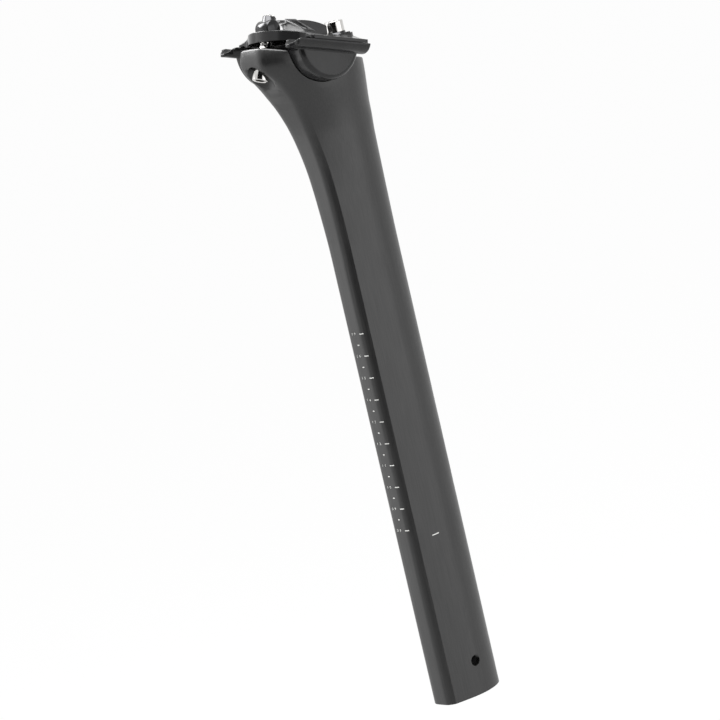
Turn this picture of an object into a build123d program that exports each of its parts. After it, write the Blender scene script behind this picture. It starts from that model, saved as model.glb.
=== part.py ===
from build123d import *
import os
from collections import namedtuple
from math import cos, radians, sin, tan

# Aero bicycle seatpost with a two-bolt saddle clamp, in millimetres.
# +Z runs up the shaft, +X is forward, +Y is the rider's left.
# The origin is on the shaft's mid-chord line, in the plane of its cut lower end.

# Shaft: a truncated aerofoil, with its flat tail at the rear
shaft_chord = 34.0
shaft_width = 19.7
widest_x = -0.3             # where the two sides are furthest apart
tail_flat_half = 2.3        # half the flat strip of the tail, between its corners
tail_corner = 5.9           # radius of the corner between tail and side
corner_turn = 54.0          # the corner turns this far and ends in a crease, degrees
side_angle = 16.0           # how fast the side opens out from the crease, degrees
wall = 2.0
straight_length = 205.0     # up to here the shaft is a plain extrusion

# Cross hole near the lower end
side_hole_diameter = 5.0
side_hole_height = 15.5

# Head
rail_height = 300.0         # lower end to the centre of the saddle rails
rail_setback = 14.3         # rail centre behind the shaft's mid-chord line
saddle_lean = 16.3          # the shaft leans back this much when the saddle is level, degrees
tail_overhang = 22.9        # how far the head reaches behind the tail of the shaft
nose_overhang = 0.9
head_half_width = 17.2
head_fullness = 0.18        # how much squarer the head's outline is than the shaft's
head_side_angle = 45.0      # at the head the crease has faded out
head_widest_back = 4.5      # the head is widest this far behind the shaft's widest place
roof_drop = 3.5             # crown of the head's arched top, below the rail centre
roof_fall = 1.9             # the arch falls this much to the sides
roof_edge_radius = 0.9

# Saddle rails, for which the clamp is made
rail_radius = 3.5
rail_spacing = 44.0

# Lower clamp: a half drum that rocks in the head, with a trough for each rail
drum_forward = 1.5          # drum axis, from the rail centre along the saddle's level
drum_drop = 0.3             # and below it
drum_radius = 16.6
drum_half_width = 23.0
drum_edge_radius = 2.6
drum_wall = 3.0
drum_clearance = 0.3
drum_pocket_half = 14.5     # half the width of the two lightening pockets together
drum_web = 3.0              # web between them
notch_from = 12.2           # the rear bolt's notch starts this far behind the rail centre
trough_wall = 1.3
trough_top_drop = 0.6
trough_front = 21.2
trough_rear = 16.6
trough_end_radius = 1.0     # rounds the front ends of the troughs
spout_length = 5.0          # the trough runs out behind into a rounded lip
spout_drop = 2.5
spout_half_width = 3.3
lip_start_handle = 2.25     # handles of the curve that the lip follows down
lip_end_handle = 1.75
drum_top_drop = 2.0         # the drum is cut lower than the troughs between them

# Upper clamp: a bridge over both rails, with a spine between its two bolts
clamp_gap = 0.3             # between the two clamps while no rails are held
rail_lift = 2.9             # the upper clamp rises this much when it closes on rails
wing_half_width = 25.6
wing_edge_height = 1.5
wing_rear = 10.3
wing_front = 20.2
wing_neck_half = 21.0       # the bowed rear edge starts here
rear_bow_handle = 12.0      # handles of that edge's curve, at the middle
rear_sweep_handle = 5.6     # and at the wings
plate_height = 4.3          # top of the bridge at its rear edge, above the rail centre
front_crown = 6.3           # and at its front edge
bridge_shoulder = 0.9       # rise of the bridge's roof over the rails
shoulder_in = 2.0           # from the rail's middle inwards to that shoulder
flank_share = 0.45          # of the rise from shoulder to crown, reached midway
bridge_rear = 18.9
bridge_front = 29.0
loft_margin = 1.0           # the roof is lofted this much past both edges, then trimmed
plan_corner_radius = 1.6
spine_half = 3.6
spine_rear = 8.2
spine_front = 16.8
spine_rake = 1.2            # its ends lean inwards
spine_height = 10.4
spine_crest = 2.0           # highest place of its top
spine_front_fall = 1.4
spine_rear_fall = 1.8
spine_edge_radius = 0.8
buttress_crest = -1.0       # the ridge of each slanting buttress leaves the spine here
buttress_sweep = 4.2        # its foot lies this much further forward
buttress_foot = 11.0
buttress_drop = 0.3         # the ridge starts below the spine's top
buttress_lift = 0.6         # and ends above the plate
buttress_rim = 1.1
buttress_recess = 1.4
front_boss_half_length = 5.4
front_boss_half_width = 6.6
front_boss_corner = 3.0
front_boss_drop = 0.5       # top of the boss below the front washer's plate

# Bolts
thread_diameter = 5.0
thread_clearance = 0.05     # radial, between a bolt and the nut that it turns in
bolt_hole_clearance = 0.35  # radial, where a bolt only passes through
swing_room = 0.6            # extra half length of the slots that let the clamp rock
socket_size = 4.0
socket_depth = 0.6          # share of the head's height
seat_clearance = 0.35       # around the half-round seats in the upper clamp
bolt_edge = 0.4

rear_bolt_lean = 27.5       # rear bolt from the shaft's direction, degrees
rear_nut_back = 14.1        # rear nut, from the rail centre along the saddle's level
rear_nut_rise = 5.6
rear_nut_radius = 3.8
rear_nut_length = 8.4
rear_collar_diameter = 5.8
rear_collar_height = 1.7
rear_head_diameter = 7.0
rear_head_height = 5.0
rear_bolt_length = 24.0
pocket_width = 11.4
pocket_stretch = 1.0        # the pocket runs this much further forward
pocket_depth = 16.7         # pocket floor below the nut's centre, along the bolt
rear_washer_thickness = 1.2
rear_washer_diameter = 10.0

front_bolt_x = 10.5
front_head_diameter = 8.2
front_head_height = 5.0
front_bolt_length = 45.0
front_nut_drop = 37.5       # nut's centre below the rail centre
front_nut_radius = 4.0
front_nut_length = 14.0
front_washer_radius = 4.3
front_washer_flange = 0.8
front_washer_length = 9.0
front_recess_clearance = 0.7

# Places that follow from these
shaft_tail_x = -shaft_chord / 2
shaft_nose_x = shaft_chord / 2
lean = radians(saddle_lean)
level = Vector(cos(lean), 0, -sin(lean))
upright = Vector(sin(lean), 0, cos(lean))
rail_centre = Vector(-rail_setback, 0, rail_height)
side_view = Plane(origin=rail_centre, x_dir=level, z_dir=(0, -1, 0))
rear_view = Plane(origin=rail_centre, x_dir=(0, 1, 0), z_dir=level)
plan_view = Plane(origin=rail_centre, x_dir=level, z_dir=upright)
drum_axis = rail_centre + level * drum_forward - upright * drum_drop
cradle_radius = drum_radius + drum_clearance

rear_lean = radians(rear_bolt_lean)
rear_direction = Vector(sin(rear_lean), 0, cos(rear_lean))
rear_nut_centre = rail_centre - level * rear_nut_back + upright * rear_nut_rise
rear_bolt_plane = Plane(
    origin=rear_nut_centre,
    x_dir=(cos(rear_lean), 0, -sin(rear_lean)),
    z_dir=rear_direction,
)
front_seat = Vector(front_bolt_x, 0, drum_axis.Z)
front_bolt_plane = Plane(origin=front_seat, x_dir=(1, 0, 0), z_dir=(0, 0, 1))
front_nut_centre = Vector(front_bolt_x, 0, rail_height - front_nut_drop)
front_level = (front_seat - rail_centre).dot(level)
wing_edge_bottom = clamp_gap - trough_top_drop
wing_edge_top = wing_edge_bottom + wing_edge_height
bolt_hole = thread_diameter + 2 * bolt_hole_clearance
nut_bore = thread_diameter + 2 * thread_clearance
rails_across = [(-rail_spacing / 2, 0), (rail_spacing / 2, 0)]
far = 60.0                  # longer than anything that a cut has to pass through

# Stations of the neck, from the top of the plain shaft up to above the head.
# The shares run from 0 on the shaft to 1 at the widest part of the head.
Station = namedtuple("Station", "drop overhang flare tail_flat corner")
neck_stations = [
    Station(73.0, 0.026, 0.08, 2.6, 5.9),
    Station(55.0, 0.085, 0.20, 2.9, 5.9),
    Station(41.0, 0.196, 0.32, 3.4, 5.8),
    Station(32.0, 0.305, 0.50, 4.1, 5.7),
    Station(23.0, 0.460, 0.78, 5.6, 4.7),
    Station(16.0, 0.640, 0.96, 5.8, 5.2),
    Station(10.0, 0.850, 1.00, 5.4, 5.2),
    Station(4.8, 0.990, 1.00, 5.0, 5.0),
    Station(0.5, 0.985, 1.00, 4.8, 4.8),
    Station(-5.0, 0.920, 1.00, 4.6, 4.6),
]


def aerofoil(tail_x, nose_x, half_width, flat_half, corner, flare=0.0):
    """Closed outline: flat tail, two corner arcs, two curved sides and a half-ellipse nose.

    The flare runs from 0 for the shaft to 1 for the head, which is squarer.
    """
    turn = radians(corner_turn + (90 - head_side_angle - corner_turn) * flare)
    crease = radians(90 - corner_turn - side_angle) * (1 - flare) ** 3
    slope = radians(90) - turn - crease
    fullness = 2 / 3 + head_fullness * flare
    widest = widest_x - head_widest_back * flare

    def on_corner(angle):
        return (tail_x + corner * (1 - cos(angle)), flat_half + corner * sin(angle))

    arc_end = on_corner(turn)
    arc_mid = on_corner(turn / 2)
    reach = (half_width - arc_end[1]) / tan(slope)
    bend = (arc_end[0] + reach, half_width)
    near_corner = (
        arc_end[0] + fullness * (bend[0] - arc_end[0]),
        arc_end[1] + fullness * (bend[1] - arc_end[1]),
    )
    near_nose = (widest + fullness * (bend[0] - widest), half_width)

    def mirrored(point):
        return (point[0], -point[1])

    with BuildLine() as outline:
        Line((tail_x, -flat_half), (tail_x, flat_half))
        ThreePointArc((tail_x, flat_half), arc_mid, arc_end)
        Bezier(arc_end, near_corner, near_nose, (widest, half_width))
        EllipticalCenterArc(
            (widest, 0), nose_x - widest, half_width, start_angle=-90, arc_size=180
        )
        Bezier((widest, -half_width), mirrored(near_nose), mirrored(near_corner), mirrored(arc_end))
        ThreePointArc(mirrored(arc_end), mirrored(arc_mid), (tail_x, -flat_half))
    make_face(outline.edges())


def shaft_outline(inset=0.0):
    aerofoil(
        shaft_tail_x + inset,
        shaft_nose_x - inset,
        shaft_width / 2 - inset,
        tail_flat_half,
        tail_corner - inset,
    )


def neck_outline(station, inset=0.0):
    flare = station.flare
    aerofoil(
        shaft_tail_x - tail_overhang * station.overhang + inset,
        shaft_nose_x + nose_overhang * flare - inset,
        shaft_width / 2 + (head_half_width - shaft_width / 2) * flare - inset,
        station.tail_flat,
        station.corner - inset,
        flare,
    )


# Post: one moulded carbon shell, solid around the clamp
with BuildPart() as post:
    with BuildSketch():
        shaft_outline()
    extrude(amount=straight_length)
    with BuildSketch(Plane.XY.offset(straight_length)):
        shaft_outline()
    for station in neck_stations:
        with BuildSketch(Plane.XY.offset(rail_height - station.drop)):
            neck_outline(station)
    loft()

    # hollow, open at the lower end
    with BuildSketch():
        shaft_outline(wall)
    extrude(amount=straight_length, mode=Mode.SUBTRACT)
    with BuildSketch(Plane.XY.offset(straight_length)):
        shaft_outline(wall)
    for station in neck_stations[:3]:
        with BuildSketch(Plane.XY.offset(rail_height - station.drop)):
            neck_outline(station, wall)
    loft(mode=Mode.SUBTRACT)
    with BuildSketch(Plane.XY.offset(rail_height - neck_stations[2].drop)):
        neck_outline(neck_stations[2], wall)
    extrude(amount=neck_stations[2].drop - front_nut_drop, mode=Mode.SUBTRACT)

    # arched top of the head, and the cradle for the drum
    with BuildSketch(rear_view.offset(-far)):
        with BuildLine():
            ThreePointArc(
                (-head_half_width, -roof_drop - roof_fall),
                (0, -roof_drop),
                (head_half_width, -roof_drop - roof_fall),
            )
            Polyline(
                (head_half_width, -roof_drop - roof_fall),
                (far, -roof_drop - roof_fall),
                (far, far),
                (-far, far),
                (-far, -roof_drop - roof_fall),
                (-head_half_width, -roof_drop - roof_fall),
            )
        make_face()
    extrude(amount=2 * far, mode=Mode.SUBTRACT)
    with BuildSketch(side_view):
        with Locations((drum_forward, -drum_drop)):
            Circle(cradle_radius)
    extrude(amount=far, both=True, mode=Mode.SUBTRACT)
    roof_edges = post.faces().sort_by(Axis(rail_centre, upright))[-2:].edges()
    fillet(roof_edges, roof_edge_radius)

    # pocket for the rear bolt's head, open to the underside of the neck
    with BuildSketch(rear_bolt_plane.offset(-pocket_depth)):
        with Locations((pocket_stretch / 2, 0)):
            SlotCenterToCenter(pocket_stretch, pocket_width)
    extrude(amount=-far, mode=Mode.SUBTRACT)
    with BuildSketch(rear_bolt_plane):
        Circle(bolt_hole / 2)
    extrude(amount=-far, mode=Mode.SUBTRACT)

    # bore for the front bolt, and the half-round seat of its nut
    with BuildSketch(front_bolt_plane):
        Circle(bolt_hole / 2)
    extrude(amount=-(front_seat.Z - front_nut_centre.Z), mode=Mode.SUBTRACT)
    with BuildSketch(Plane.XZ):
        with Locations((front_nut_centre.X, front_nut_centre.Z)):
            Circle(front_nut_radius + thread_clearance)
    extrude(amount=front_nut_length / 2 + bolt_hole_clearance, both=True, mode=Mode.SUBTRACT)

    # cross hole at the lower end
    with BuildSketch(Plane.XZ):
        with Locations((widest_x, side_hole_height)):
            Circle(side_hole_diameter / 2)
    extrude(amount=shaft_width, both=True, mode=Mode.SUBTRACT)

post.part.label = "post"
os.makedirs("parts", exist_ok=True)
export_step(post.part, "parts/post.step")


# Lower clamp: the drum, the two troughs and their run-out lips in one forging
with BuildPart() as lower_clamp:
    with BuildSketch(side_view):
        with Locations((drum_forward, -drum_drop)):
            Circle(drum_radius)
        with Locations((0, far / 2 - trough_top_drop)):
            Rectangle(2 * far, far, mode=Mode.SUBTRACT)
    extrude(amount=drum_half_width, both=True)
    drum_rims = lower_clamp.edges().filter_by(GeomType.CIRCLE)
    fillet(drum_rims, drum_edge_radius)

    # troughs, and the bores for the rails through troughs and drum
    with BuildSketch(rear_view.offset(-trough_rear - spout_length)):
        with Locations(rails_across):
            Circle(rail_radius + trough_wall)
        with Locations((0, far / 2 - trough_top_drop)):
            Rectangle(2 * far, far, mode=Mode.SUBTRACT)
    extrude(amount=trough_rear + spout_length + trough_front)
    trough_ends = lower_clamp.faces().sort_by(Axis(rail_centre, level))[-2:]
    fillet(trough_ends.edges(), trough_end_radius)
    with BuildSketch(rear_view.offset(-far / 2)):
        with Locations(rails_across):
            Circle(rail_radius)
    extrude(amount=far, mode=Mode.SUBTRACT)

    # between the troughs the top of the drum is lower
    with BuildSketch(rear_view.offset(-far / 2)):
        with Locations((0, far / 2 - drum_top_drop)):
            Rectangle(rail_spacing - 2 * (rail_radius + trough_wall), far)
    extrude(amount=far, mode=Mode.SUBTRACT)

    # lips: behind the clamp the sides of the trough sweep down to a shallow spout
    lip_end = (-trough_rear - spout_length, -trough_top_drop - spout_drop)
    lip_start = (-trough_rear, -trough_top_drop)
    with BuildSketch(side_view):
        with BuildLine() as lip:
            Bezier(
                lip_start,
                (lip_start[0] - lip_start_handle, lip_start[1]),
                (lip_end[0] + lip_end_handle, lip_end[1]),
                lip_end,
            )
            Polyline(
                lip_end,
                (lip_end[0] - spout_length, lip_end[1]),
                (lip_end[0] - spout_length, far / 4),
                (lip_start[0], far / 4),
                lip_start,
            )
        make_face()
    extrude(amount=far, both=True, mode=Mode.SUBTRACT)
    lip_centre = trough_rear + spout_length - spout_half_width
    with BuildSketch(plan_view.offset(-far / 4)):
        with Locations((-lip_centre - far / 2, 0)):
            Rectangle(far, 2 * far)
        with Locations((-lip_centre, -rail_spacing / 2), (-lip_centre, rail_spacing / 2)):
            Circle(spout_half_width, mode=Mode.SUBTRACT)
    extrude(amount=far / 2, mode=Mode.SUBTRACT)

    # lightening pockets either side of a web, open at the top
    with BuildSketch(side_view.offset(drum_web / 2)):
        with Locations((drum_forward, -drum_drop)):
            Circle(drum_radius - drum_wall)
    extrude(amount=drum_pocket_half - drum_web / 2, mode=Mode.SUBTRACT)
    with BuildSketch(side_view.offset(-drum_web / 2)):
        with Locations((drum_forward, -drum_drop)):
            Circle(drum_radius - drum_wall)
    extrude(amount=-(drum_pocket_half - drum_web / 2), mode=Mode.SUBTRACT)

    # notch that lets the drum rock past the rear bolt
    with BuildSketch(side_view):
        with Locations((-notch_from - far / 2, 0)):
            Rectangle(far, far)
    extrude(amount=bolt_hole / 2 + bolt_hole_clearance, both=True, mode=Mode.SUBTRACT)

lower_clamp.part.label = "lower_clamp"
export_step(lower_clamp.part, "parts/lower_clamp.step")


def clamp_point(forward, sideways, up):
    """A place given from the rail centre, along the saddle's level, sideways and upright."""
    return rail_centre + level * forward + Vector(0, sideways, 0) + upright * up


def bridge_section(crown):
    """Rear view of the bridge: flat underside, thin outer edges and a roof up to the crown."""
    shoulder = (rail_spacing / 2 - shoulder_in, wing_edge_top + bridge_shoulder)
    flank = (rail_spacing / 4, shoulder[1] + flank_share * (crown - shoulder[1]))
    with BuildLine() as section:
        Polyline(
            (-wing_half_width, wing_edge_top),
            (-wing_half_width, wing_edge_bottom),
            (wing_half_width, wing_edge_bottom),
            (wing_half_width, wing_edge_top),
        )
        Spline(
            (wing_half_width, wing_edge_top),
            shoulder,
            flank,
            (0, crown),
            (-flank[0], flank[1]),
            (-shoulder[0], shoulder[1]),
            (-wing_half_width, wing_edge_top),
        )
    make_face(section.edges())


# Upper clamp
with BuildPart() as upper_clamp:
    with BuildSketch(rear_view.offset(-bridge_rear - loft_margin)):
        bridge_section(plate_height)
    with BuildSketch(rear_view.offset(bridge_front + loft_margin)):
        bridge_section(front_crown)
    loft()
    with BuildSketch(plan_view.offset(-far / 2)) as bridge_plan:
        with BuildLine():
            for side in (-1, 1):
                Bezier(
                    (-bridge_rear, 0),
                    (-bridge_rear, side * rear_bow_handle),
                    (-wing_rear, side * (wing_neck_half - rear_sweep_handle)),
                    (-wing_rear, side * wing_neck_half),
                )
                Polyline(
                    (-wing_rear, side * wing_neck_half),
                    (-wing_rear, side * wing_half_width),
                    (wing_front, side * wing_half_width),
                )
            ThreePointArc(
                (wing_front, wing_half_width), (bridge_front, 0), (wing_front, -wing_half_width)
            )
        make_face()
        outer_corners = bridge_plan.vertices().group_by(Axis.Y)
        fillet(outer_corners[0] + outer_corners[-1], plan_corner_radius)
    extrude(amount=far, mode=Mode.INTERSECT)

    # spine
    with BuildSketch(side_view):
        with BuildLine():
            top_rear = (-spine_rear + spine_rake, spine_height - spine_rear_fall)
            top_front = (spine_front - spine_rake, spine_height - spine_front_fall)
            Polyline(
                top_rear,
                (-spine_rear, wing_edge_top),
                (spine_front, wing_edge_top),
                top_front,
            )
            Spline(top_front, (spine_crest, spine_height), top_rear)
        make_face()
    extrude(amount=spine_half, both=True)
    spine_top = upper_clamp.faces().sort_by(Axis(rail_centre, upright))[-1]
    fillet(spine_top.edges(), spine_edge_radius)

    # slanting buttresses against the rear of the spine, with a sunk panel in each
    for side in (-1, 1):
        rear_start = -spine_rear + spine_rake
        root = side * (spine_half - spine_edge_radius)
        foot = side * buttress_foot
        buttress_plan = [
            (rear_start, root),
            (rear_start + buttress_sweep, foot),
            (buttress_crest + buttress_sweep, foot),
            (buttress_crest, root),
        ]
        ridge_top = clamp_point(
            buttress_crest, side * spine_half, spine_height - buttress_drop
        )
        ridge_foot = clamp_point(
            buttress_crest + buttress_sweep, foot, plate_height + buttress_lift
        )
        rear_top = clamp_point(-spine_rear, side * spine_half, spine_height - spine_edge_radius)
        slant = (ridge_foot - ridge_top).cross(rear_top - ridge_top) * side
        slanting = Plane(origin=ridge_top, x_dir=(ridge_foot - ridge_top), z_dir=slant)
        with BuildPart(mode=Mode.PRIVATE) as panel:
            with BuildSketch(plan_view) as panel_plan:
                Polygon(*buttress_plan, align=None)
                offset(amount=-buttress_rim, mode=Mode.REPLACE)
            extrude(amount=far)
            with BuildSketch(slanting.offset(-buttress_recess)):
                Rectangle(2 * far, 2 * far)
            extrude(amount=far, mode=Mode.INTERSECT)
        with BuildPart(mode=Mode.PRIVATE) as buttress:
            with BuildSketch(plan_view):
                Polygon(*buttress_plan, align=None)
            extrude(amount=far / 2)
            with BuildSketch(slanting):
                Rectangle(2 * far, 2 * far)
            extrude(amount=far, mode=Mode.SUBTRACT)
            add(panel.part, mode=Mode.SUBTRACT)
        add(buttress.part)

    # low boss around the front bolt, square to it
    with BuildSketch(front_bolt_plane.offset(-front_boss_drop)):
        RectangleRounded(
            2 * front_boss_half_length, 2 * front_boss_half_width, front_boss_corner
        )
    extrude(amount=-far / 4)
    with BuildSketch(side_view):
        with Locations((0, wing_edge_bottom - far / 2)):
            Rectangle(2 * far, far)
    extrude(amount=far, both=True, mode=Mode.SUBTRACT)

    # shallow groove over each rail
    with BuildSketch(rear_view.offset(-far / 2)):
        with Locations((-rail_spacing / 2, -rail_lift), (rail_spacing / 2, -rail_lift)):
            Circle(rail_radius)
    extrude(amount=2 * far, mode=Mode.SUBTRACT)

    # half-round seats, the recess of the front bolt's head and the bolt slots
    with BuildSketch(side_view):
        with Locations((-rear_nut_back, rear_nut_rise)):
            Circle(rear_nut_radius + seat_clearance)
    extrude(amount=rear_nut_length / 2 + seat_clearance, both=True, mode=Mode.SUBTRACT)
    with BuildSketch(Plane.XZ):
        with Locations((front_seat.X, front_seat.Z)):
            Circle(front_washer_radius + seat_clearance)
    extrude(amount=front_washer_length / 2 + seat_clearance, both=True, mode=Mode.SUBTRACT)
    with BuildSketch(front_bolt_plane.offset(-front_boss_drop)):
        Circle(front_washer_radius + front_recess_clearance)
    extrude(amount=far, mode=Mode.SUBTRACT)
    with BuildSketch(front_bolt_plane):
        SlotCenterToCenter(2 * swing_room, bolt_hole)
    extrude(amount=-far, mode=Mode.SUBTRACT)
    with BuildSketch(rear_bolt_plane):
        SlotCenterToCenter(2 * swing_room, bolt_hole)
    extrude(amount=-far, mode=Mode.SUBTRACT)


upper_clamp.part.label = "upper_clamp"
export_step(upper_clamp.part, "parts/upper_clamp.step")


def socket_bolt(plane, head_diameter, head_height, length):
    """Socket-head bolt on a plane: the head stands on it and the shank hangs below."""
    along = Axis(plane.origin, plane.z_dir)
    with BuildPart() as bolt:
        with BuildSketch(plane):
            Circle(head_diameter / 2)
        extrude(amount=head_height)
        with BuildSketch(plane):
            Circle(thread_diameter / 2)
        extrude(amount=-length)
        rims = bolt.edges().filter_by(GeomType.CIRCLE).sort_by(along)
        chamfer([rims[0], rims[-1]], bolt_edge)
        with BuildSketch(plane.offset(head_height)):
            RegularPolygon(socket_size / 2, 6, major_radius=False)
        extrude(amount=-socket_depth * head_height, mode=Mode.SUBTRACT)
    return bolt


def barrel_nut(centre, radius, length, bolt_plane, collar_diameter=0.0, collar_height=0.0):
    """Cylinder across the post, bored for its bolt, with an optional collar on top."""
    with BuildPart() as nut:
        with BuildSketch(Plane(origin=centre, x_dir=(1, 0, 0), z_dir=(0, -1, 0))):
            Circle(radius)
        extrude(amount=length / 2, both=True)
        chamfer(nut.edges().filter_by(GeomType.CIRCLE), bolt_edge)
        if collar_height > 0:
            with BuildSketch(bolt_plane):
                Circle(collar_diameter / 2)
            extrude(amount=radius + collar_height)
            top_rim = nut.edges().filter_by(GeomType.CIRCLE).sort_by(
                Axis(bolt_plane.origin, bolt_plane.z_dir)
            )[-1]
            chamfer(top_rim, bolt_edge)
        with BuildSketch(bolt_plane):
            Circle(nut_bore / 2)
        extrude(amount=far / 2, both=True, mode=Mode.SUBTRACT)
    return nut


# Rear bolt: goes up through the head from its pocket, into the nut on the upper clamp
rear_head_seat = rear_nut_centre - rear_direction * (pocket_depth + rear_washer_thickness)
rear_head_plane = Plane(
    origin=rear_head_seat, x_dir=rear_bolt_plane.x_dir, z_dir=rear_direction * -1
)
rear_bolt = socket_bolt(rear_head_plane, rear_head_diameter, rear_head_height, rear_bolt_length)
rear_bolt.part.label = "rear_bolt"
export_step(rear_bolt.part, "parts/rear_bolt.step")

with BuildPart() as rear_bolt_washer:
    with BuildSketch(rear_bolt_plane.offset(-pocket_depth)):
        Circle(rear_washer_diameter / 2)
        Circle(bolt_hole / 2, mode=Mode.SUBTRACT)
    extrude(amount=-rear_washer_thickness)
rear_bolt_washer.part.label = "rear_bolt_washer"
export_step(rear_bolt_washer.part, "parts/rear_bolt_washer.step")

rear_barrel_nut = barrel_nut(
    rear_nut_centre,
    rear_nut_radius,
    rear_nut_length,
    rear_bolt_plane,
    rear_collar_diameter,
    rear_collar_height,
)
rear_barrel_nut.part.label = "rear_barrel_nut"
export_step(rear_barrel_nut.part, "parts/rear_barrel_nut.step")

# Front bolt: goes down through the upper clamp into the nut inside the post
front_head_plane = front_bolt_plane.offset(front_washer_flange)
front_bolt = socket_bolt(front_head_plane, front_head_diameter, front_head_height, front_bolt_length)
front_bolt.part.label = "front_bolt"
export_step(front_bolt.part, "parts/front_bolt.step")

with BuildPart() as front_bolt_washer:
    with BuildSketch(Plane.XZ):
        with Locations((front_seat.X, front_seat.Z)):
            Circle(front_washer_radius)
        with Locations((front_seat.X, front_seat.Z + far / 2)):
            Rectangle(far, far, mode=Mode.SUBTRACT)
    extrude(amount=front_washer_length / 2, both=True)
    with BuildSketch(front_bolt_plane):
        Circle(front_washer_radius)
    extrude(amount=front_washer_flange)
    with BuildSketch(front_bolt_plane):
        Circle(bolt_hole / 2)
    extrude(amount=far, both=True, mode=Mode.SUBTRACT)
front_bolt_washer.part.label = "front_bolt_washer"
export_step(front_bolt_washer.part, "parts/front_bolt_washer.step")

front_nut_plane = Plane(origin=front_nut_centre, x_dir=(1, 0, 0), z_dir=(0, 0, 1))
front_barrel_nut = barrel_nut(front_nut_centre, front_nut_radius, front_nut_length, front_nut_plane)
front_barrel_nut.part.label = "front_barrel_nut"
export_step(front_barrel_nut.part, "parts/front_barrel_nut.step")
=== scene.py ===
"""Looks of an aero bicycle seatpost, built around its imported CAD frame.

The post, the clamps, the nuts and the washers take their shapes from the frame: welded copies of them
carry the finishes. In two copies the shape is bettered: the skin of the post's neck is laid again in fair
lines, and the upper clamp's bridge is filled out. The two bolts are turned here with their sockets and
threads, and the scale on the tail is laid on the carbon's own surface. Lengths are in metres, but in the
neck's classes in millimetres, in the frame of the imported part: +Z runs up the shaft, +X is forward and +Y
is the rider's left.
"""

import logging
import math
from dataclasses import dataclass, field
from enum import Enum
from typing import Callable

import bmesh
import bpy
from mathutils import Matrix, Vector
from mathutils.bvhtree import BVHTree

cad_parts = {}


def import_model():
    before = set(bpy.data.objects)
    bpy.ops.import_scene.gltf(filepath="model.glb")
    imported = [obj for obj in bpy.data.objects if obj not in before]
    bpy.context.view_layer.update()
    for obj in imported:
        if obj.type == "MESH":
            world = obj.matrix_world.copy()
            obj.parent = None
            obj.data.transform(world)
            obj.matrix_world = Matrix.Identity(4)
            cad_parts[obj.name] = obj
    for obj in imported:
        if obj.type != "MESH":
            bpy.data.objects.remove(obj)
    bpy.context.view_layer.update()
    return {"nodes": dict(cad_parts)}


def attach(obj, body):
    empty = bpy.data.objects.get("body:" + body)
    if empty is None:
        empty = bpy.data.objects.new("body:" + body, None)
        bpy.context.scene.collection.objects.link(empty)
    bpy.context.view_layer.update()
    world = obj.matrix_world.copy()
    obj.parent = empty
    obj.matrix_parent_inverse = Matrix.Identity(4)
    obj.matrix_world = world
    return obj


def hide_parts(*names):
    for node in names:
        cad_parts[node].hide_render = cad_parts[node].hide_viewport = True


log = logging.getLogger("seatpost")
MM = 0.001
WHITE = (1.0, 1.0, 1.0, 1.0)

Colour = tuple[float, float, float]
Point = tuple[float, float, float]
Pair = tuple[float, float]
Ring = list[Vector]
Socket = bpy.types.NodeSocket


class Body(Enum):
    """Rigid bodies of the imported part."""

    MAST = "mast"
    CLAMP = "saddle_clamp"
    FRONT_BOLT = "front_screw"
    REAR_NUT = "rear_nut"


class Slot(Enum):
    """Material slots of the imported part."""

    CARBON = "carbon"
    CLAMP_METAL = "clamp_metal"
    BOLT_STEEL = "bolt_steel"
    DARK_STEEL = "dark_steel"


class Side(Enum):
    """Which way a printed mark faces, as the direction that a ray takes to find the surface."""

    TAIL = (1.0, 0.0, 0.0)
    RIGHT = (0.0, 1.0, 0.0)


def eased(share: float) -> float:
    """Holds a share between 0 and 1, and lets it start and end slowly."""
    held = min(max(share, 0.0), 1.0)
    return held * held * (3 - 2 * held)


def place(data: bpy.types.ID, name: str) -> bpy.types.Object:
    """Puts a mesh, a text, a lamp or a camera into the scene as an object at the origin.

    Args:
        data: what the object shows.
        name: its name.

    Returns:
        The object.
    """
    made = bpy.data.objects.new(name, data)
    bpy.context.scene.collection.objects.link(made)
    return made


def plain_mesh(carrier: bpy.types.Object) -> bpy.types.Mesh:
    """Makes a plain mesh of what an object shows, and takes the object away.

    Args:
        carrier: the object.

    Returns:
        The mesh.
    """
    graph = bpy.context.evaluated_depsgraph_get()
    mesh = bpy.data.meshes.new_from_object(carrier.evaluated_get(graph))
    bpy.data.objects.remove(carrier)
    return mesh


def finished(shape: bmesh.types.BMesh, name: str, finish: bpy.types.Material) -> bpy.types.Mesh:
    """Makes a mesh of a shape, which is used up.

    Args:
        shape: the shape.
        name: name of the mesh.
        finish: its one material.

    Returns:
        The mesh.
    """
    mesh = bpy.data.meshes.new(name)
    shape.to_mesh(mesh)
    shape.free()
    mesh.materials.append(finish)
    for polygon in mesh.polygons:
        polygon.material_index = 0
    return mesh


def smoothed(mesh: bpy.types.Mesh, sharp_angle: float) -> bpy.types.Mesh:
    """Shades a mesh smooth.

    Args:
        mesh: the mesh.
        sharp_angle: edges steeper than this, in degrees, stay sharp.

    Returns:
        The same mesh.
    """
    for polygon in mesh.polygons:
        polygon.use_smooth = True
    mesh.set_sharp_from_angle(angle=math.radians(sharp_angle))
    return mesh


def skin_rings(shape: bmesh.types.BMesh, rings: list[Ring]) -> list[list[bmesh.types.BMVert]]:
    """Lays a skin through rings of points.

    Args:
        shape: what the skin is added to.
        rings: the rings from the bottom up, each anticlockwise seen from above.

    Returns:
        The corners of each ring.
    """
    loops = [[shape.verts.new(point) for point in ring] for ring in rings]
    for lower, upper in zip(loops, loops[1:]):
        for step in range(len(lower)):
            following = (step + 1) % len(lower)
            shape.faces.new((lower[step], lower[following], upper[following], upper[step]))
    return loops


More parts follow.
